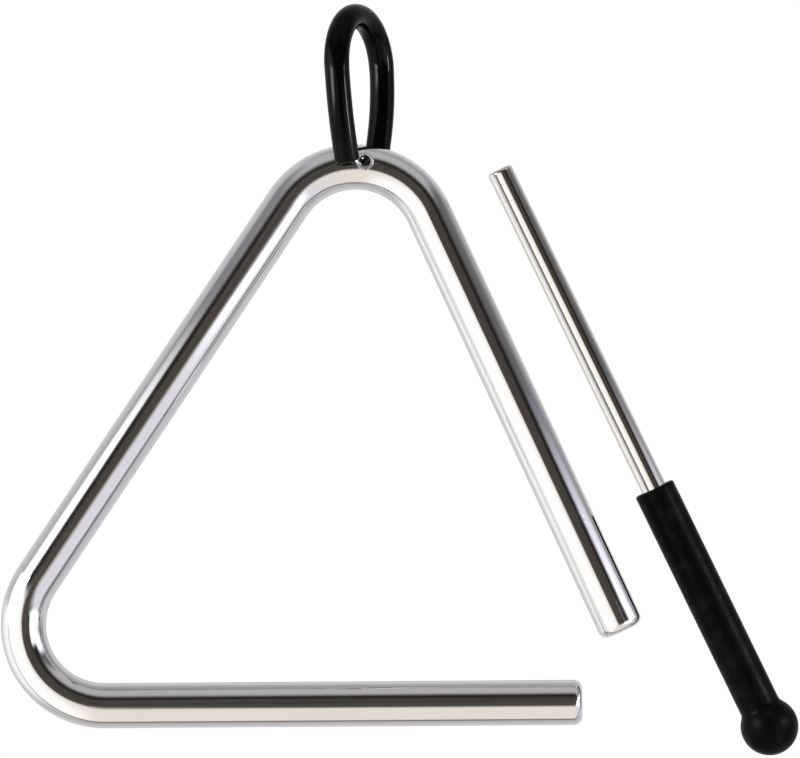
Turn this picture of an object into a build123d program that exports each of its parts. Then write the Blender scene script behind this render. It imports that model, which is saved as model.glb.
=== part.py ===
"""Triangle instrument: a bent steel bar hung from a rubber finger loop, with its beater.

Millimetres, +Z up, +X to the right of the player's view and +Y away from it.
The origin is the top of the finger loop's opening, where the loop rests on the finger.
"""
import os
from math import cos, radians, sin, sqrt

from build123d import *

# Bent bar
ROD_DIA = 10.0
BEND_RADIUS = 18.0          # to the bar's centreline, both bends
APEX_ANGLE = 58.6           # between the left and right sides
CORNER_ANGLE = 55.9         # between the left side and the bottom
LEFT_SLOPE_ANGLE = 56.3     # left side above the horizontal
LEFT_STRAIGHT = 100.7
RIGHT_STRAIGHT = 102.1
BOTTOM_STRAIGHT = 106.0
ROD_END_ROUND = 1.8

# Cross hole at the top bend, where the line goes through
HOLE_DIA = 2.4
SINK_DIA = 4.2
SINK_ANGLE = 90.0
HOLE_OFFSET = 1.3           # outside the bar's centreline
HOLE_BEARING_ANGLE = 6.0    # degrees right of the vertical, about the bend's centre

# Finger loop: a rubber tube on a line, measured on its centreline from the hole's axis
SLEEVE_DIA = 5.5
SLEEVE_BORE = 2.2
SLEEVE_END_ROUND = 0.4
LOOP_RISE = 32.4
LOOP_BULGE = 2.6            # each leg's widest point beyond its lower end
LOOP_TWIST_ANGLE = 25.0     # degrees about the vertical, front leg to the left
LOOP_LEAN_ANGLE = 3.3       # degrees to the left
LEG_CLEARANCE = 0.4         # leg to bar
LEG_END_RISE = 1.4
REAR_LEG_TUCK = 1.0         # rear leg's lower end, sideways towards the hole

# Line through the sleeve and the hole
LINE_DIA = 0.9
LINE_BEND = 1.0
LINE_DROP_HEIGHT = 1.4      # below the sleeve's ends, before it turns to the hole
LINE_CLEARANCE = 0.5        # line to the front and the back of the bar
LINE_PULL = 0.9             # at the hole's mouths, sideways to the leg that pulls it
LINE_END_GAP = 0.5          # between the line's two ends, inside the ferrule

# Ferrule crimped round the line's ends, half way up the rear leg
FERRULE_LENGTH = 7.0
FERRULE_WALL = 0.35
FERRULE_PLACE_SHARE = 0.5

# Beater
BEATER_DIA = 5.7
BEATER_EXPOSED_LENGTH = 79.6
BEATER_END_ROUND = 0.8
BEATER_SLOPE_ANGLE = 64.1   # above the horizontal
BEATER_GAP = 10.8           # beside the bar's right side
BEATER_CLEARANCE = 1.0      # ball behind the bar
BEATER_TIP_RISE = 2.7       # tip above the lower end of the top bend
GRIP_DIA = 9.3
GRIP_LENGTH = 59.4          # mouth to the ball's centre
GRIP_MOUTH_ROUND = 0.5
BALL_DIA = 13.0
BALL_NECK_ROUND = 2.0
GRIP_BORE_DEPTH = 51.0
BORE_END_GAP = 1.0          # beyond the bar's hidden end

rod_radius = ROD_DIA / 2
sleeve_radius = SLEEVE_DIA / 2
line_radius = LINE_DIA / 2
beater_radius = BEATER_DIA / 2
grip_radius = GRIP_DIA / 2
ball_radius = BALL_DIA / 2


def heading(angle):
    """Unit vector in the instrument's plane, in degrees from the right, turning upwards."""
    return Vector(cos(radians(angle)), 0, sin(radians(angle)))


def section_at(path):
    """Plane square to the start of a path."""
    return Plane(origin=path @ 0, z_dir=path % 0)


# Axis of the hole, below the finger by the inner height of the loop
hole = heading(LOOP_LEAN_ANGLE - 90) * (LOOP_RISE - sleeve_radius)
front = Vector(0, -1, 0)

# Directions along the bar, from its right end over the apex to its bottom end
left_heading = 180 + LEFT_SLOPE_ANGLE
apex_turn = 180 - APEX_ANGLE
corner_turn = 180 - CORNER_ANGLE
right_heading = left_heading - apex_turn
apex_centre = hole - heading(90 - HOLE_BEARING_ANGLE) * (BEND_RADIUS + HOLE_OFFSET)
right_outward = heading(right_heading - 90)
right_tangent = apex_centre + right_outward * BEND_RADIUS
right_end = right_tangent - heading(right_heading) * RIGHT_STRAIGHT

# Bent bar: one round section swept along three sides and two bends
with BuildPart() as triangle_rod:
    with BuildLine(Plane.XZ) as bar_path:
        right_side = Line(right_end, right_tangent)
        apex_bend = JernArc(right_side @ 1, right_side % 1, BEND_RADIUS, apex_turn)
        left_side = Line(apex_bend @ 1, (apex_bend @ 1) + (apex_bend % 1) * LEFT_STRAIGHT)
        corner_bend = JernArc(left_side @ 1, left_side % 1, BEND_RADIUS, corner_turn)
        bottom_side = Line(corner_bend @ 1, (corner_bend @ 1) + (corner_bend % 1) * BOTTOM_STRAIGHT)
    with BuildSketch(section_at(right_side)):
        Circle(rod_radius)
    sweep(path=bar_path.wires()[0])
    end_faces = triangle_rod.faces().filter_by(GeomType.PLANE)
    fillet(end_faces.edges(), ROD_END_ROUND)
    # Countersunk from both faces of the bar
    mouth_depth = sqrt(rod_radius**2 - HOLE_OFFSET**2)
    for side in (front, front * -1):
        with Locations(Plane(origin=hole + side * mouth_depth, z_dir=side)):
            CounterSinkHole(HOLE_DIA / 2, SINK_DIA / 2, ROD_DIA, SINK_ANGLE)

# Finger loop's own plane: across towards the front leg, up along the loop
twist = radians(LOOP_TWIST_ANGLE)
loop_up = heading(90 + LOOP_LEAN_ANGLE)
loop_left = heading(180 + LOOP_LEAN_ANGLE)
loop_across = front * cos(twist) + loop_left * sin(twist)
loop_plane = Plane(origin=hole, x_dir=loop_across, z_dir=loop_across.cross(loop_up))

# Legs clear the bar at their lower ends, bulge above it and close in a half circle
leg_end = (rod_radius + sleeve_radius + LEG_CLEARANCE) / cos(twist)
crown_radius = leg_end + LOOP_BULGE
crown_rise = LOOP_RISE - crown_radius
front_end = loop_plane.from_local_coords((leg_end, LEG_END_RISE))
rear_end = loop_plane.from_local_coords((-leg_end, LEG_END_RISE)) + loop_left * REAR_LEG_TUCK

with BuildPart() as hanger_sleeve:
    with BuildLine(loop_plane):
        crown = CenterArc((0, crown_rise), crown_radius, 0, 180)
        front_leg = TangentArc(crown @ 0, front_end, tangent=(crown % 0) * -1)
        rear_leg = TangentArc(crown @ 1, rear_end, tangent=crown % 1)
    for stretch in (front_leg, crown, rear_leg):
        with BuildSketch(section_at(stretch)):
            Circle(sleeve_radius)
            Circle(SLEEVE_BORE / 2, mode=Mode.SUBTRACT)
        sweep(path=stretch)
    cut_ends = hanger_sleeve.faces().filter_by(GeomType.PLANE)
    outer_rims = [face.outer_wire().edges() for face in cut_ends]
    fillet(outer_rims, SLEEVE_END_ROUND)

# Line: from the ferrule over the crown, down the front leg, through the hole and back up
gap_share = LINE_END_GAP / 2 / rear_leg.length
crimp_share = FERRULE_LENGTH / 2 / rear_leg.length
mouth_stand_off = rod_radius + line_radius + LINE_CLEARANCE
front_mouth = front * mouth_stand_off + loop_left * LINE_PULL

with BuildPart() as hanger_line:
    with BuildLine() as line_path:
        add(rear_leg.trim(0, FERRULE_PLACE_SHARE - gap_share))
        add(crown)
        add(front_leg)
        FilletPolyline(
            front_end,
            front_end + (front_leg % 1) * LINE_DROP_HEIGHT,
            hole + front_mouth,
            hole - front_mouth,
            rear_end + (rear_leg % 1) * LINE_DROP_HEIGHT,
            rear_end,
            radius=LINE_BEND,
        )
        add(rear_leg.trim(FERRULE_PLACE_SHARE + gap_share, 1))
    line_wire = line_path.wires()[0]
    with BuildSketch(section_at(line_wire)):
        Circle(line_radius)
    sweep(path=line_wire)

with BuildPart() as line_ferrule:
    crimp = rear_leg.trim(FERRULE_PLACE_SHARE - crimp_share, FERRULE_PLACE_SHARE + crimp_share)
    with BuildSketch(section_at(crimp)):
        Circle(line_radius + FERRULE_WALL)
        Circle(line_radius, mode=Mode.SUBTRACT)
    sweep(path=crimp)

# Beater: parallel to the instrument's plane, just behind it and beside its right side
beater_stand_off = rod_radius + ball_radius + BEATER_CLEARANCE
beater_tip = (
    right_tangent
    + right_outward * (rod_radius + BEATER_GAP + beater_radius)
    + heading(right_heading) * BEATER_TIP_RISE
    - front * beater_stand_off
)
down_beater = heading(-BEATER_SLOPE_ANGLE)
beater_plane = Plane(origin=beater_tip, x_dir=front, z_dir=down_beater)
mouth_plane = beater_plane.offset(BEATER_EXPOSED_LENGTH)
hidden_length = GRIP_BORE_DEPTH - BORE_END_GAP

with BuildPart() as beater_rod:
    with BuildSketch(beater_plane):
        Circle(beater_radius)
    extrude(amount=BEATER_EXPOSED_LENGTH + hidden_length)
    fillet(beater_rod.faces().filter_by(GeomType.PLANE).edges(), BEATER_END_ROUND)

# Grip: a turned outline of tube, neck and ball, with a blind bore for the beater's hidden length
grip_axis = Axis(mouth_plane.origin, down_beater)
neck_reach = sqrt((ball_radius + BALL_NECK_ROUND) ** 2 - (grip_radius + BALL_NECK_ROUND) ** 2)
neck_share = ball_radius / (ball_radius + BALL_NECK_ROUND)
neck_start = (GRIP_LENGTH - neck_reach, grip_radius)
neck_end = (GRIP_LENGTH - neck_reach * neck_share, (grip_radius + BALL_NECK_ROUND) * neck_share)
ball_end = (GRIP_LENGTH + ball_radius, 0)

with BuildPart() as beater_grip:
    with BuildSketch(Plane(origin=mouth_plane.origin, x_dir=down_beater, z_dir=front)):
        with BuildLine():
            Polyline((0, beater_radius), (0, grip_radius), neck_start)
            neck = TangentArc(neck_start, neck_end, tangent=(1, 0))
            TangentArc(neck_end, ball_end, tangent=neck % 1)
            Polyline(ball_end, (GRIP_BORE_DEPTH, 0), (GRIP_BORE_DEPTH, beater_radius), (0, beater_radius))
        make_face()
    revolve(axis=grip_axis)
    mouth_rims = beater_grip.edges().filter_by(GeomType.CIRCLE).group_by(grip_axis)[0]
    fillet(mouth_rims.sort_by(SortBy.RADIUS)[-1], GRIP_MOUTH_ROUND)

os.makedirs("parts", exist_ok=True)
pieces = {
    "triangle_rod": triangle_rod,
    "hanger_sleeve": hanger_sleeve,
    "hanger_line": hanger_line,
    "line_ferrule": line_ferrule,
    "beater_rod": beater_rod,
    "beater_grip": beater_grip,
}
for name, piece in pieces.items():
    piece.part.label = name
    export_step(piece.part, f"parts/{name}.step")
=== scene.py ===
"""Looks of the triangle instrument: chromed bar and beater, rubber loop and grip, on a pale stage.

Metres, in the CAD model's frame: +X right, +Y away from the camera, +Z up.
"""
import math

import bmesh
import bpy
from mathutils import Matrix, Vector


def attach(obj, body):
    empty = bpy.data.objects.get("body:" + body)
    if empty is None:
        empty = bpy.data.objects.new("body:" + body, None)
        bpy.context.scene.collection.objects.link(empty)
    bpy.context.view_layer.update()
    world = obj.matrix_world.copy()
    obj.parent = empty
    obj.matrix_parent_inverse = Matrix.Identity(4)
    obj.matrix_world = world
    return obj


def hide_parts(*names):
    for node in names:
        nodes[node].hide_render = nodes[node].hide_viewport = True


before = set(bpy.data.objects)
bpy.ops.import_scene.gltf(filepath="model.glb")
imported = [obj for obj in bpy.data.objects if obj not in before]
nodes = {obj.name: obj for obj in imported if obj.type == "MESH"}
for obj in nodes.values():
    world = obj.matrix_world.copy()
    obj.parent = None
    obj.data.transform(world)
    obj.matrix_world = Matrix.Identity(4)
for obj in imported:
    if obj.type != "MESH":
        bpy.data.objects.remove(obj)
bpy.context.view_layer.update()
scene = bpy.context.scene

# Camera, level with the middle of the triangle
CAMERA_AIM = Vector((0.00953, 0.0, -0.07795))
CAMERA_DISTANCE = 1.2
VIEW_WIDTH = 0.1778         # of the plane through the bar's centreline
SENSOR_WIDTH = 36.0

# Cross hole at the top bend
HOLE = Vector((0.0017068, 0.0, -0.0296008))
HOLE_RADIUS = 0.0012
SINK_RADIUS = 0.0021

# Finger loop: a rubber tube whose legs meet the bar each side of the hole
LOOP_LEAN = math.radians(3.3)
LOOP_TWIST = math.radians(25)
LOOP_RISE = 0.0324
SLEEVE_RADIUS = 0.00275
SLEEVE_BORE_RADIUS = 0.0011
SLEEVE_END_ROUND = 0.0004
CROWN_FLATTENING = 0.03     # share of the radius lost across the crown's bend
END_FLATTENING = 0.18       # and at the rear end, which the line pulls against the bar
END_FLAT_LENGTH = 0.006
LEG_SPACING = 0.00815       # leg to the bar's middle plane
LEG_BULGE = 0.0026
FRONT_END_RISE = 0.0001     # above the hole's axis
REAR_END_RISE = -0.0013
REAR_LEG_TUCK = 0.0018
DULL_REACH = (0.002, 0.010)     # from the front leg's end, rubbed by the bar
LEG_STEPS = 36
CROWN_STEPS = 64
RIM_STEPS = 6
SLEEVE_SIDES = 72

# Clear line through the loop and the hole
LINE_RADIUS = 0.00045
LINE_OFFSET = 0.00062       # from the hole's axis, against its left wall
LINE_IN_HOLE = 0.0030       # straight each way from the bar's middle plane
LINE_STRIDE = 4             # steps of the loop between two of the line's points
LINE_JOIN = 18              # steps down the rear leg, where the ferrule holds the line's ends
FRONT_EXIT = 6              # steps above the front leg's end, where the line leaves its middle
REAR_EXIT = 8

# Beater grip
BEATER_TIP = Vector((0.0317957, 0.0125, -0.0309151))
BEATER_SLOPE = math.radians(64.1)
BEATER_EXPOSED = 0.0796
BEATER_RADIUS = 0.00285
GRIP_RADIUS = 0.00465
GRIP_LENGTH = 0.0594        # mouth to the ball's centre
GRIP_BORE_DEPTH = 0.051
BORE_MOUTH = ((0.0006, 0.0), (0.0002, 0.0001), (0.0, 0.0003))   # depth, and gap to the bar
MOUTH_ROUND = 0.0005
BALL_RADIUS = 0.0065
NECK_ROUND = 0.002
MOUTH_STEPS = 8
GRIP_STEPS = 48
NECK_STEPS = 8
BALL_STEPS = 40
GRIP_SIDES = 96

# Stage
FLOOR_HEIGHT = -0.21
FLOOR_RADIUS = 0.6
FLOOR_FADE = (0.35, 0.98)   # shares of its radius


# Meshes


def turned(start, stop, steps):
    """Angles from start to stop, both included."""
    return [start + (stop - start) * i / steps for i in range(steps + 1)]


def arc_between(start, direction, end, steps):
    """Points of the circular arc that leaves start in a direction and reaches end."""
    chord = end - start
    side = (chord - direction * chord.dot(direction)).normalized()
    radius = chord.length_squared / (2 * chord.dot(side))
    sweep = 2 * math.atan2(chord.dot(side), chord.dot(direction))
    return [
        start + (direction * math.sin(turn) + side * (1 - math.cos(turn))) * radius
        for turn in turned(0, sweep, steps)
    ]


def ring(centre, across, up, radius, sides, flattening=0.0):
    """Points round a centre, in the plane of two unit vectors, flattened along the first."""
    thick = radius * (1 - flattening)
    wide = radius * (1 + flattening)
    return [
        centre + across * (math.cos(turn) * thick) + up * (math.sin(turn) * wide)
        for turn in turned(0, math.tau, sides)[:-1]
    ]


def skin(name, rings, closed=False):
    """Smooth mesh through rings of equal count, with its length along V and its turn along U."""
    mesh = bpy.data.meshes.new(name)
    shape = bmesh.new()
    uv_layer = shape.loops.layers.uv.new("around")
    rows = [[shape.verts.new(point) for point in points] for points in rings]
    runs = [0.0]
    for before, after in zip(rings, rings[1:] + rings[:1]):
        runs.append(runs[-1] + (after[0] - before[0]).length)
    sides = len(rings[0])
    for i in range(len(rows) if closed else len(rows) - 1):
        for j in range(sides):
            corners = ((i, j), (i, j + 1), (i + 1, j + 1), (i + 1, j))
            face = shape.faces.new([rows[a % len(rows)][b % sides] for a, b in corners])
            face.smooth = True
            for loop, (a, b) in zip(face.loops, corners):
                loop[uv_layer].uv = (b / sides, runs[a])
    bmesh.ops.remove_doubles(shape, verts=shape.verts, dist=1e-7)
    bmesh.ops.recalc_face_normals(shape, faces=shape.faces)
    shape.to_mesh(mesh)
    shape.free()
    piece = bpy.data.objects.new(name, mesh)
    scene.collection.objects.link(piece)
    return piece


front = Vector((0, -1, 0))
loop_up = Vector((-math.sin(LOOP_LEAN), 0, math.cos(LOOP_LEAN)))
loop_left = Vector((-math.cos(LOOP_LEAN), 0, -math.sin(LOOP_LEAN)))
loop_across = front * math.cos(LOOP_TWIST) + loop_left * math.sin(LOOP_TWIST)

leg_reach = LEG_SPACING / math.cos(LOOP_TWIST)
crown_reach = leg_reach + LEG_BULGE
crown_centre = HOLE + loop_up * (LOOP_RISE - crown_reach)
front_end = HOLE + loop_across * leg_reach + loop_up * FRONT_END_RISE
rear_end = HOLE - loop_across * leg_reach + loop_up * REAR_END_RISE + loop_left * REAR_LEG_TUCK
crown_front = crown_centre + loop_across * crown_reach
crown_rear = crown_centre - loop_across * crown_reach

front_leg = arc_between(crown_front, -loop_up, front_end, LEG_STEPS)
crown = arc_between(crown_front, loop_up, crown_rear, CROWN_STEPS)
rear_leg = arc_between(crown_rear, -loop_up, rear_end, LEG_STEPS)
loop_line = front_leg[:0:-1] + crown + rear_leg[1:]


def carried_frames(points, across):
    """Tangent, and two unit vectors square to it carried along the points without twisting."""
    frames = []
    for i, point in enumerate(points):
        tangent = (points[min(i + 1, len(points) - 1)] - points[max(i - 1, 0)]).normalized()
        across = (across - tangent * across.dot(tangent)).normalized()
        frames.append((tangent, across, tangent.cross(across)))
    return frames


def rubber_tube(name, points, across):
    """Tube with a bore and rounded outer rims, flattened a little where it bends and at its last end."""
    frames = carried_frames(points, across)
    bends = [0.0] + [a.angle(b) for (a, _, _), (b, _, _) in zip(frames, frames[2:])] + [0.0]
    sharpest = max(bends)
    rims = [(math.sin(turn), math.cos(turn)) for turn in turned(0, math.pi / 2, RIM_STEPS)]
    outer, inner = [], []
    for i, (point, (tangent, side, up)) in enumerate(zip(points, frames)):
        from_end = min((points[-1] - point).length / END_FLAT_LENGTH, 1.0)
        flattening = CROWN_FLATTENING * bends[i] / sharpest + END_FLATTENING * (1 - from_end) ** 2
        if i in (0, len(points) - 1):
            inward = tangent if i == 0 else -tangent
            end_rings = [
                ring(
                    point + inward * (SLEEVE_END_ROUND * (1 - rise)),
                    side,
                    up,
                    SLEEVE_RADIUS - SLEEVE_END_ROUND * (1 - reach),
                    SLEEVE_SIDES,
                    flattening,
                )
                for reach, rise in rims
            ]
            outer += end_rings if i == 0 else end_rings[::-1]
        else:
            outer.append(ring(point, side, up, SLEEVE_RADIUS, SLEEVE_SIDES, flattening))
        inner.append(ring(point, side, up, SLEEVE_BORE_RADIUS, SLEEVE_SIDES, flattening))
    return skin(name, outer + inner[::-1], closed=True)


sleeve = rubber_tube("finger_loop", loop_line, loop_across)


def line_curve(name, points, radius):
    """Smooth round line on one NURBS spline."""
    curve = bpy.data.curves.new(name, "CURVE")
    curve.dimensions = "3D"
    curve.bevel_depth = radius
    curve.bevel_resolution = 8
    curve.resolution_u = 16
    curve.use_fill_caps = True
    spline = curve.splines.new("NURBS")
    spline.points.add(len(points) - 1)
    for control, point in zip(spline.points, points):
        control.co = (*point, 1)
    spline.order_u = 3
    spline.use_endpoint_u = True
    piece = bpy.data.objects.new(name, curve)
    scene.collection.objects.link(piece)
    return piece


# The line goes up the rear leg, over the crown and down the front leg, then behind that leg's edge,
# along the hole's left wall and into the rear leg again
line_in_hole = [HOLE + loop_left * LINE_OFFSET + front * (LINE_IN_HOLE * share) for share in (1, 0, -1)]
front_exit = front_leg[-FRONT_EXIT]
rear_exit = rear_leg[-REAR_EXIT]
line_route = (
    rear_leg[LINE_JOIN:0:-LINE_STRIDE]
    + crown[::-LINE_STRIDE]
    + front_leg[LINE_STRIDE:-FRONT_EXIT:LINE_STRIDE]
    + [front_exit, front_exit.lerp(line_in_hole[0], 0.5)]
    + line_in_hole
    + [rear_exit.lerp(line_in_hole[-1], 0.5), rear_exit]
    + rear_leg[-REAR_EXIT - LINE_STRIDE:LINE_JOIN:-LINE_STRIDE]
)
line = line_curve("loop_line", line_route, LINE_RADIUS)


def grip_outline():
    """Grip's outline as distance from its mouth and radius, from the bore's end to the ball's end."""
    neck_reach = math.sqrt((BALL_RADIUS + NECK_ROUND) ** 2 - (GRIP_RADIUS + NECK_ROUND) ** 2)
    neck_place = GRIP_LENGTH - neck_reach
    neck_turn = math.acos((GRIP_RADIUS + NECK_ROUND) / (BALL_RADIUS + NECK_ROUND))
    straight = neck_place - MOUTH_ROUND
    outline = [(GRIP_BORE_DEPTH, 0.0), (GRIP_BORE_DEPTH, BEATER_RADIUS)]
    outline += [(depth, BEATER_RADIUS + gap) for depth, gap in BORE_MOUTH]
    outline += [
        (MOUTH_ROUND * (1 - math.cos(turn)), GRIP_RADIUS - MOUTH_ROUND * (1 - math.sin(turn)))
        for turn in turned(0, math.pi / 2, MOUTH_STEPS)
    ]
    outline += [(MOUTH_ROUND + straight * i / GRIP_STEPS, GRIP_RADIUS) for i in range(1, GRIP_STEPS)]
    outline += [
        (neck_place + NECK_ROUND * math.sin(turn), GRIP_RADIUS + NECK_ROUND * (1 - math.cos(turn)))
        for turn in turned(0, neck_turn, NECK_STEPS)
    ]
    outline += [
        (GRIP_LENGTH - BALL_RADIUS * math.cos(turn), BALL_RADIUS * math.sin(turn))
        for turn in turned(math.pi / 2 - neck_turn, math.pi, BALL_STEPS)[1:]
    ]
    return outline


beater_down = Vector((math.cos(BEATER_SLOPE), 0, -math.sin(BEATER_SLOPE)))
beater_side = beater_down.cross(front)
grip_mouth = BEATER_TIP + beater_down * BEATER_EXPOSED
grip_rings = [
    ring(grip_mouth + beater_down * along, front, beater_side, radius, GRIP_SIDES)
    for along, radius in grip_outline()
]
grip = skin("ball_grip", grip_rings)


# Materials

CHROME_COLOURS = ((0.84, 0.83, 0.83, 1), (0.81, 0.81, 0.83, 1))
WARM_CHROME_COLOURS = ((0.83, 0.81, 0.79, 1), (0.80, 0.785, 0.77, 1))
# Near-black painted shade on the walls of the cross hole's bore
BORE_PAINTED_SHADE_COLOUR = (0.020, 0.017, 0.015, 1)
LOOP_COLOURS = ((0.0008, 0.0008, 0.0008, 1), (0.0018, 0.0017, 0.0017, 1))
GRIP_COLOURS = ((0.0018, 0.0015, 0.0013, 1), (0.0080, 0.0065, 0.0058, 1))
NYLON_COLOURS = ((0.80, 0.81, 0.80, 1), (0.90, 0.90, 0.89, 1))
# Dark painted shade on the line where it runs in the cross hole
NYLON_PAINTED_SHADE_COLOUR = (0.012, 0.011, 0.010, 1)
FERRULE_COLOURS = ((0.60, 0.60, 0.62, 1), (0.74, 0.74, 0.76, 1))
FLOOR_COLOURS = ((0.86, 0.85, 0.83, 1), (0.90, 0.89, 0.87, 1))
BORE_EDGE = (HOLE_RADIUS * 1.02, HOLE_RADIUS * 1.12)
SINK_EDGE = (SINK_RADIUS * 0.85, SINK_RADIUS * 0.95)


def add_node(tree, kind, inputs=None, **settings):
    """Node with its settings, and its inputs linked from a socket or set to a value."""
    made = tree.nodes.new("ShaderNode" + kind)
    for name, value in settings.items():
        setattr(made, name, value)
    for name, value in (inputs or {}).items():
        if isinstance(value, bpy.types.NodeSocket):
            tree.links.new(value, made.inputs[name])
        else:
            made.inputs[name].default_value = value
    return made


def new_tree(owner):
    """Empty node tree of a material, world or lamp."""
    owner.use_nodes = True
    owner.node_tree.nodes.clear()
    return owner.node_tree


def noise(tree, place, scale, detail=2.0, roughness=0.5):
    """Noise texture's value at a place, from 0 to 1."""
    made = add_node(
        tree, "TexNoise", {"Vector": place, "Scale": scale, "Detail": detail, "Roughness": roughness}
    )
    return made.outputs["Fac"]


def spread(tree, value, low, high, start=0.3, stop=0.7):
    """Value between start and stop, spread smoothly over low to high."""
    inputs = {"Value": value, "From Min": start, "From Max": stop, "To Min": low, "To Max": high}
    return add_node(tree, "MapRange", inputs, interpolation_type="SMOOTHSTEP").outputs["Result"]


def blend_colours(tree, share, first, second):
    """First colour where the share is 0, second where it is 1."""
    inputs = {"Factor": share, "A": first, "B": second}
    return add_node(tree, "Mix", inputs, data_type="RGBA").outputs["Result"]


def surface(name, inputs, tree_of):
    """Material with one Principled shader: fixed inputs, and those that its tree works out."""
    material = bpy.data.materials.new(name)
    tree = new_tree(material)
    shader = add_node(tree, "BsdfPrincipled", {**inputs, **tree_of(tree)})
    add_node(tree, "OutputMaterial", {"Surface": shader.outputs["BSDF"]})
    return material


def bumped(tree, height, distance, under=None):
    """Normal bumped by a height, on top of another bumped normal if there is one."""
    inputs = {"Height": height, "Distance": distance}
    if under is not None:
        inputs["Normal"] = under
    return add_node(tree, "Bump", inputs).outputs["Normal"]


def calculate(tree, operation, *values):
    """Result of a Math node."""
    return add_node(tree, "Math", dict(enumerate(values)), operation=operation).outputs["Value"]


def on_vectors(tree, operation, *vectors, result="Vector"):
    """Result of a Vector Math node."""
    return add_node(tree, "VectorMath", dict(enumerate(vectors)), operation=operation).outputs[result]


def round_hole(tree, place, near, far):
    """1 within a near distance of the cross hole's axis, 0 beyond a far one."""
    from_hole = on_vectors(tree, "SUBTRACT", place, HOLE)
    from_axis = on_vectors(tree, "MULTIPLY", from_hole, (1, 0, 1))
    reach = on_vectors(tree, "LENGTH", from_axis, result="Value")
    return spread(tree, reach, 1, 0, near, far)


def plated(tree, colours=CHROME_COLOURS):
    """Chrome plate with gentle waves and hands' smears, dull in the countersink, with painted shade
    darkening the hole's bore.
    """
    place = add_node(tree, "TexCoord").outputs["Object"]
    waves = noise(tree, place, scale=55, detail=1.0)
    peel = noise(tree, place, scale=420, detail=1.0)
    smears = noise(tree, place, scale=85, detail=5.0, roughness=0.7)
    tint = noise(tree, place, scale=30)
    wavy = bumped(tree, waves, distance=3.5e-5)
    plate = blend_colours(tree, tint, *colours)
    smeared = spread(tree, smears, low=0.05, high=0.16, start=0.50, stop=0.85)
    # Painted shade: the bore's walls are coloured near-black
    bore_shade = round_hole(tree, place, *BORE_EDGE)
    dull = spread(tree, round_hole(tree, place, *SINK_EDGE), low=0, high=0.5, start=0, stop=1)
    return {
        "Base Color": blend_colours(tree, bore_shade, plate, BORE_PAINTED_SHADE_COLOUR),
        "Roughness": calculate(tree, "MAXIMUM", smeared, dull),
        "Normal": bumped(tree, peel, distance=5e-7, under=wavy),
    }


def warm_plated(tree):
    """The beater's thinner plate, with the steel's warmer tint."""
    return plated(tree, WARM_CHROME_COLOURS)


def extruded(tree):
    """Rubber tube: glossy skin with faint lines along its length, rubbed dull at the front leg's end."""
    around = add_node(tree, "UVMap", uv_map="around").outputs["UV"]
    lines_place = add_node(tree, "Mapping", {"Vector": around, "Scale": (60, 40, 1)}).outputs["Vector"]
    place = add_node(tree, "TexCoord").outputs["Object"]
    lines = noise(tree, lines_place, scale=1.0)
    patches = noise(tree, place, scale=260, detail=3.0)
    run = add_node(tree, "SeparateXYZ", {"Vector": around}).outputs["Y"]
    glossy = spread(tree, patches, low=0.06, high=0.11)
    dull = spread(tree, run, 0.32, 0, *DULL_REACH)
    return {
        "Base Color": blend_colours(tree, patches, *LOOP_COLOURS),
        "Roughness": calculate(tree, "MAXIMUM", glossy, dull),
        "Normal": bumped(tree, lines, distance=3e-6),
    }


def moulded(tree):
    """Satin rubber with a fine grain, worn in greyer patches."""
    place = add_node(tree, "TexCoord").outputs["Object"]
    grain = noise(tree, place, scale=3200)
    wear = noise(tree, place, scale=220, detail=5.0, roughness=0.6)
    worn = spread(tree, wear, low=0, high=1, start=0.45, stop=0.75)
    uneven = bumped(tree, wear, distance=9e-5)
    return {
        "Base Color": blend_colours(tree, worn, *GRIP_COLOURS),
        "Roughness": spread(tree, wear, low=0.42, high=0.28),
        "Normal": bumped(tree, grain, distance=8e-6, under=uneven),
    }


def drawn_nylon(tree):
    """Milky line, darkened with painted shade and made rougher where it runs in the hole."""
    place = add_node(tree, "TexCoord").outputs["Object"]
    milk = noise(tree, place, scale=900)
    clear = blend_colours(tree, milk, *NYLON_COLOURS)
    # Painted shade: the line is coloured dark inside the hole
    in_hole_shade = round_hole(tree, place, *BORE_EDGE)
    smooth = spread(tree, milk, low=0.18, high=0.30)
    dull = spread(tree, in_hole_shade, low=0, high=0.6, start=0, stop=1)
    return {
        "Base Color": blend_colours(tree, in_hole_shade, clear, NYLON_PAINTED_SHADE_COLOUR),
        "Roughness": calculate(tree, "MAXIMUM", smooth, dull),
    }


def crimped(tree):
    """Soft plain metal, dented where it was crimped."""
    place = add_node(tree, "TexCoord").outputs["Object"]
    dents = noise(tree, place, scale=700, detail=1.0)
    return {
        "Base Color": blend_colours(tree, dents, *FERRULE_COLOURS),
        "Roughness": spread(tree, dents, low=0.25, high=0.45),
        "Normal": bumped(tree, dents, distance=8e-5),
    }


chrome = surface("chrome_plate", {"Metallic": 1.0}, plated)
warm_chrome = surface("warm_chrome_plate", {"Metallic": 1.0}, warm_plated)
loop_rubber = surface("loop_rubber", {"IOR": 1.5, "Specular IOR Level": 0.08}, extruded)
grip_rubber = surface("grip_rubber", {"IOR": 1.5, "Specular IOR Level": 0.045}, moulded)
nylon = surface("clear_nylon", {"IOR": 1.53, "Transmission Weight": 0.75}, drawn_nylon)
ferrule_metal = surface("ferrule_metal", {"Metallic": 1.0}, crimped)


def dress(piece, material):
    """Give a piece one material."""
    piece.data.materials.clear()
    piece.data.materials.append(material)


dress(nodes["triangle_rod"], chrome)
dress(nodes["beater_rod"], warm_chrome)
dress(nodes["line_ferrule"], ferrule_metal)
for piece, material, body, node, slot in (
    (sleeve, loop_rubber, "hanger", "hanger_sleeve", "loop_rubber"),
    (line, nylon, "hanger", "hanger_line", "clear_nylon"),
    (grip, grip_rubber, "beater", "beater_grip", "grip_rubber"),
):
    dress(piece, material)
    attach(piece, body)
    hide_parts(node)


# Studio: what the chrome shows, by direction from the instrument

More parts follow.
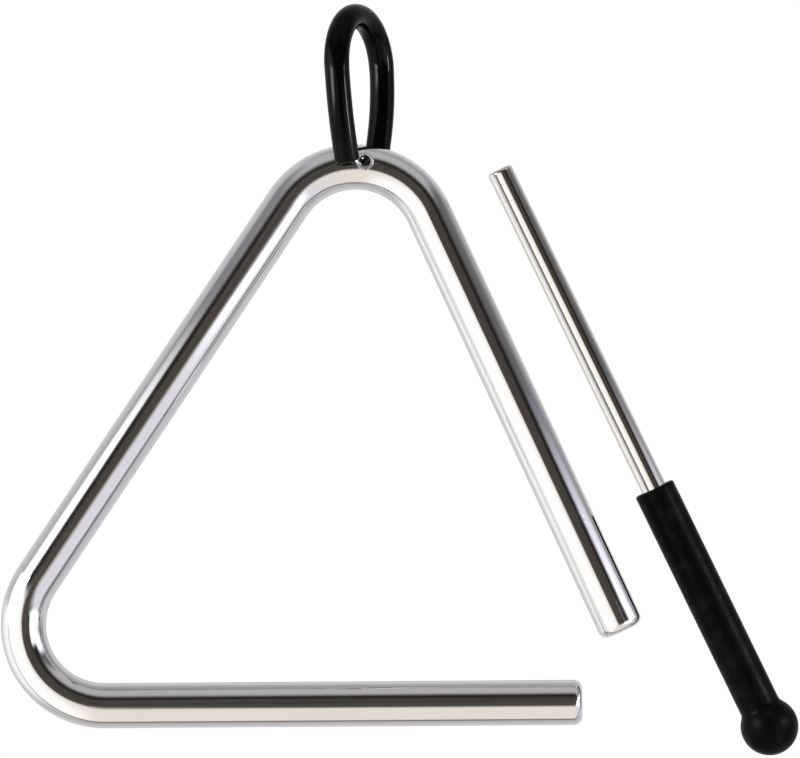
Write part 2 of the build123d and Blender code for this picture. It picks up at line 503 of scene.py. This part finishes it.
# Lit table's edges: upward normal and softness
TABLE_FRONT_EDGE = ((-0.030, -0.262, 0.965), 0.13)
TABLE_LEFT_EDGE = ((0.985, -0.098, 0.141), 0.06)
TABLE_FAR_LEFT_EDGE = ((0.460, -0.085, 0.885), 0.03)
# Ceiling's edges over the unlit room behind the camera: downward normal and softness
CEILING_EDGE = ((-0.242, -0.814, -0.528), 0.21)
CEILING_LEFT_EDGE = ((0.479, -0.719, -0.504), 0.22)

TABLE_LEFT_COLOUR = (1.20, 1.20, 1.18, 1)
TABLE_COLOUR = (0.93, 0.85, 0.77, 1)
TABLE_RIGHT_COLOUR = (0.84, 0.83, 0.87, 1)
CEILING_LEFT_COLOUR = (0.26, 0.26, 0.27, 1)
CEILING_COLOUR = (0.50, 0.49, 0.50, 1)
CEILING_RIGHT_COLOUR = (0.150, 0.150, 0.155, 1)
UNLIT_EDGE_COLOUR = (0.022, 0.019, 0.017, 1)
UNLIT_MIDDLE_COLOUR = (0.080, 0.074, 0.066, 1)
BESIDE_LEFT_COLOUR = (1.12, 1.12, 1.11, 1)
BESIDE_LOW_COLOUR = (0.54, 0.52, 0.53, 1)
BESIDE_HIGH_COLOUR = (0.37, 0.37, 0.375, 1)
BESIDE_HIGH_LEFT_COLOUR = (0.55, 0.55, 0.555, 1)
BESIDE_LOW_RIGHT_COLOUR = (0.64, 0.64, 0.66, 1)
BESIDE_HIGH_RIGHT_COLOUR = (0.25, 0.25, 0.26, 1)
BACKDROP_COLOUR = (0.70, 0.69, 0.71, 1)
SEAM_COLOUR = (0.05, 0.05, 0.05, 1)

# Reach of a direction's part along one axis, over which one colour passes into the next
TABLE_LEFT_REACH = (-0.38, -0.04)
TABLE_RIGHT_REACH = (0.1, 0.5)
CEILING_LEFT_REACH = (-0.75, -0.40)
CEILING_RIGHT_REACH = (0.66, 0.83)
UNLIT_MIDDLE = (0.10, -0.985, 0.12)
UNLIT_MIDDLE_REACH = (0.82, 0.98)
BESIDE_HEIGHT_REACH = (-0.1, 0.3)
BESIDE_HIGH_LEFT_REACH = (-0.6, -0.2)
BESIDE_RIGHT_REACH = (0.60, 0.88)
BESIDE_RIGHT_HEIGHT_REACH = (-0.3, 0.1)
FAR_LEFT_REACH = (-0.85, -0.5)
LOW_LEFT_HEIGHT_REACH = (0.06, 0.22)
BEHIND_REACH = (0.0, 0.16)
BACKDROP_REACH = (0.2, 0.9)
STRAIGHT_BACK_REACH = (0.95, 0.99)

# Dark line where the table meets the backdrop, just behind the instrument
SEAM_DEPTH = 0.056
SEAM_BEND = 0.22            # its way forward to the left and right
SEAM_REACH = (0.05, 0.13)
SEAM_HEIGHT_REACH = (-0.15, 0.2)
SEAM_SHARE = 0.75
SEAM_FAR_LEFT_SHARE = 0.35


def side_of(tree, direction, normal, softness):
    """1 on a normal's side of a plane through the instrument, 0 on the other, across a soft edge."""
    along = on_vectors(tree, "DOT_PRODUCT", direction, normal, result="Value")
    return spread(tree, along, 0, 1, -softness, softness)


def room_colour(tree):
    """Colour of the room round the instrument."""
    direction = add_node(tree, "TexCoord").outputs["Generated"]
    axes = add_node(tree, "SeparateXYZ", {"Vector": direction}).outputs
    x, y, z = axes["X"], axes["Y"], axes["Z"]

    def past(value, reach):
        return spread(tree, value, 0, 1, *reach)

    def short_of(value, reach):
        return spread(tree, value, 1, 0, *reach)

    # Before the instrument: the lit table, and above it the ceiling and the unlit room
    right_of_table = side_of(tree, direction, *TABLE_LEFT_EDGE)
    over_far_left = side_of(tree, direction, *TABLE_FAR_LEFT_EDGE)
    above_left = calculate(tree, "MAXIMUM", right_of_table, over_far_left)
    above_table = calculate(tree, "MULTIPLY", above_left, side_of(tree, direction, *TABLE_FRONT_EDGE))
    under_front = side_of(tree, direction, *CEILING_EDGE)
    under_left = side_of(tree, direction, *CEILING_LEFT_EDGE)
    under_ceiling = calculate(tree, "MULTIPLY", under_front, under_left)
    table = blend_colours(tree, past(x, TABLE_LEFT_REACH), TABLE_LEFT_COLOUR, TABLE_COLOUR)
    table = blend_colours(tree, past(x, TABLE_RIGHT_REACH), table, TABLE_RIGHT_COLOUR)
    ceiling = blend_colours(tree, past(x, CEILING_LEFT_REACH), CEILING_LEFT_COLOUR, CEILING_COLOUR)
    ceiling = blend_colours(tree, past(x, CEILING_RIGHT_REACH), ceiling, CEILING_RIGHT_COLOUR)
    uneven = spread(tree, noise(tree, direction, scale=9.0, detail=3.0), low=0.55, high=1.25)
    to_middle = on_vectors(tree, "DOT_PRODUCT", direction, UNLIT_MIDDLE, result="Value")
    middle = calculate(tree, "MULTIPLY", uneven, past(to_middle, UNLIT_MIDDLE_REACH))
    unlit = blend_colours(tree, middle, UNLIT_EDGE_COLOUR, UNLIT_MIDDLE_COLOUR)
    above = blend_colours(tree, under_ceiling, ceiling, unlit)
    before = blend_colours(tree, above_table, table, above)

    # Beside and behind it
    high = blend_colours(tree, past(x, BESIDE_HIGH_LEFT_REACH), BESIDE_HIGH_LEFT_COLOUR, BESIDE_HIGH_COLOUR)
    beside = blend_colours(tree, past(z, BESIDE_HEIGHT_REACH), BESIDE_LOW_COLOUR, high)
    right_height = past(z, BESIDE_RIGHT_HEIGHT_REACH)
    right = blend_colours(tree, right_height, BESIDE_LOW_RIGHT_COLOUR, BESIDE_HIGH_RIGHT_COLOUR)
    beside = blend_colours(tree, past(x, BESIDE_RIGHT_REACH), beside, right)
    far_left = short_of(x, FAR_LEFT_REACH)
    low_left = calculate(tree, "MULTIPLY", far_left, short_of(z, LOW_LEFT_HEIGHT_REACH))
    beside = blend_colours(tree, low_left, beside, BESIDE_LEFT_COLOUR)
    behind = blend_colours(tree, past(y, BACKDROP_REACH), beside, BACKDROP_COLOUR)
    room = blend_colours(tree, past(y, BEHIND_REACH), before, behind)

    # Seam
    bend = calculate(tree, "MULTIPLY", calculate(tree, "ABSOLUTE", x), SEAM_BEND)
    from_seam = calculate(tree, "SUBTRACT", calculate(tree, "ADD", y, bend), SEAM_DEPTH)
    seam = short_of(calculate(tree, "ABSOLUTE", from_seam), SEAM_REACH)
    seam = calculate(tree, "MULTIPLY", seam, short_of(z, SEAM_HEIGHT_REACH))
    darkness = spread(tree, x, SEAM_FAR_LEFT_SHARE, SEAM_SHARE, *FAR_LEFT_REACH)
    seam = calculate(tree, "MULTIPLY", seam, darkness)
    room = blend_colours(tree, seam, room, SEAM_COLOUR)
    return blend_colours(tree, past(y, STRAIGHT_BACK_REACH), room, UNLIT_MIDDLE_COLOUR)


world = bpy.data.worlds.new("studio")
scene.world = world
tree = new_tree(world)
studio = add_node(tree, "Background", {"Color": room_colour(tree)})
white = add_node(tree, "Background", {"Color": (1, 1, 1, 1)})
rays = add_node(tree, "LightPath").outputs
seen = calculate(tree, "MAXIMUM", rays["Is Camera Ray"], rays["Is Transmission Ray"])
shown = add_node(tree, "MixShader", {"Fac": seen, 1: studio.outputs[0], 2: white.outputs[0]})
add_node(tree, "OutputWorld", {"Surface": shown.outputs[0]})

TO_LEFT = (-1, 0, 0)
TO_RIGHT = (1, 0, 0)
UP = (0, 0, 1)
DOWN = (0, 0, -1)
FORWARD_AND_DOWN = (0, 0.95, -0.30)
MOST_GLOSSY_DEPTH = 1.5     # between one reflection and two


def softbox(name, place, aim, size, radiance, fades, colour=(1, 1, 1, 1), in_gloss=True, on_matt=True):
    """Area lamp that fades towards its edges, over a share of its half width and half height.

    Seen in one reflection only, so that it doesn't sparkle from bar to bar.
    """
    lamp = bpy.data.lights.new(name, "AREA")
    lamp.shape = "RECTANGLE"
    lamp.size, lamp.size_y = size
    lamp.energy = 4 * radiance * lamp.size * lamp.size_y
    tree = new_tree(lamp)
    place_on_lamp = add_node(tree, "NewGeometry").outputs["Parametric"]
    axes = add_node(tree, "SeparateXYZ", {"Vector": place_on_lamp}).outputs
    shares = []
    for axis, fade in zip(("X", "Y"), fades):
        from_middle = calculate(tree, "ABSOLUTE", calculate(tree, "SUBTRACT", axes[axis], 0.5))
        shares.append(spread(tree, from_middle, 1, 0, 0.5 * (1 - fade), 0.5))
    depth = add_node(tree, "LightPath").outputs["Glossy Depth"]
    once = calculate(tree, "LESS_THAN", depth, MOST_GLOSSY_DEPTH)
    strength = calculate(tree, "MULTIPLY", calculate(tree, "MULTIPLY", *shares), once)
    glow = add_node(tree, "Emission", {"Color": colour, "Strength": strength})
    add_node(tree, "OutputLight", {"Surface": glow.outputs[0]})
    box = bpy.data.objects.new(name, lamp)
    box.location = place
    box.rotation_euler = Vector(aim).to_track_quat("-Z", "Y").to_euler()
    box.visible_glossy = in_gloss
    box.visible_diffuse = on_matt
    box.visible_camera = False
    scene.collection.objects.link(box)


softbox(
    "left_box",
    place=(-0.43, -0.37, -0.03),
    aim=TO_RIGHT,
    size=(0.44, 0.19),
    radiance=15.0,
    fades=(0.6, 0.5),
    on_matt=False,
)
softbox(
    "left_card",
    place=(-0.44, -0.27, 0.02),
    aim=TO_RIGHT,
    size=(0.66, 0.39),
    radiance=1.15,
    fades=(0.8, 0.5),
)
softbox(
    "right_box",
    place=(0.46, -0.20, -0.018),
    aim=TO_LEFT,
    size=(0.10, 0.115),
    radiance=28.0,
    fades=(0.6, 0.3),
    on_matt=False,
)
softbox(
    "right_card",
    place=(0.47, -0.13, 0.0),
    aim=TO_LEFT,
    size=(0.62, 0.25),
    radiance=0.95,
    fades=(0.8, 0.8),
    colour=(0.93, 0.94, 1.08, 1),
)
softbox(
    "right_wall",
    place=(0.48, -0.45, -0.14),
    aim=TO_LEFT,
    size=(0.90, 0.32),
    radiance=0.95,
    fades=(0.4, 0.4),
)
softbox(
    "low_card",
    place=(0.32, -0.30, -0.20),
    aim=UP,
    size=(0.40, 0.44),
    radiance=0.45,
    fades=(0.35, 0.4),
)
softbox(
    "top_box",
    place=(0.0, -0.05, 0.70),
    aim=DOWN,
    size=(0.80, 0.80),
    radiance=1.4,
    fades=(0.2, 0.2),
    in_gloss=False,
)
softbox(
    "fill_box",
    place=(0.0, -1.30, 0.30),
    aim=FORWARD_AND_DOWN,
    size=(1.0, 0.8),
    radiance=2.6,
    fades=(0.2, 0.2),
    in_gloss=False,
)


def floor_disc():
    """Pale floor under the instrument that fades out before its edge."""
    bpy.ops.mesh.primitive_circle_add(
        vertices=128, radius=FLOOR_RADIUS, fill_type="NGON", location=(0, 0, FLOOR_HEIGHT)
    )
    disc = bpy.context.object
    disc.name = "floor"
    material = bpy.data.materials.new("pale_floor")
    tree = new_tree(material)
    place = add_node(tree, "TexCoord").outputs["Object"]
    reach = on_vectors(tree, "LENGTH", place, result="Value")
    fade = spread(tree, reach, 0, 1, *(FLOOR_RADIUS * share for share in FLOOR_FADE))
    in_chrome = add_node(tree, "LightPath").outputs["Is Glossy Ray"]
    fade = calculate(tree, "MAXIMUM", fade, in_chrome)
    grain = noise(tree, place, scale=90, detail=3.0)
    pale = add_node(tree, "BsdfDiffuse", {"Color": blend_colours(tree, grain, *FLOOR_COLOURS)})
    clear = add_node(tree, "BsdfTransparent")
    mixed = add_node(tree, "MixShader", {"Fac": fade, 1: pale.outputs[0], 2: clear.outputs[0]})
    add_node(tree, "OutputMaterial", {"Surface": mixed.outputs[0]})
    dress(disc, material)


floor_disc()

# Camera

camera_data = bpy.data.cameras.new("camera")
camera_data.sensor_width = SENSOR_WIDTH
camera_data.lens = SENSOR_WIDTH * CAMERA_DISTANCE / VIEW_WIDTH
camera = bpy.data.objects.new("camera", camera_data)
camera.location = CAMERA_AIM + front * CAMERA_DISTANCE
camera.rotation_euler = (math.radians(90), 0, 0)
scene.collection.objects.link(camera)
scene.camera = camera
scene.view_settings.view_transform = "Standard"
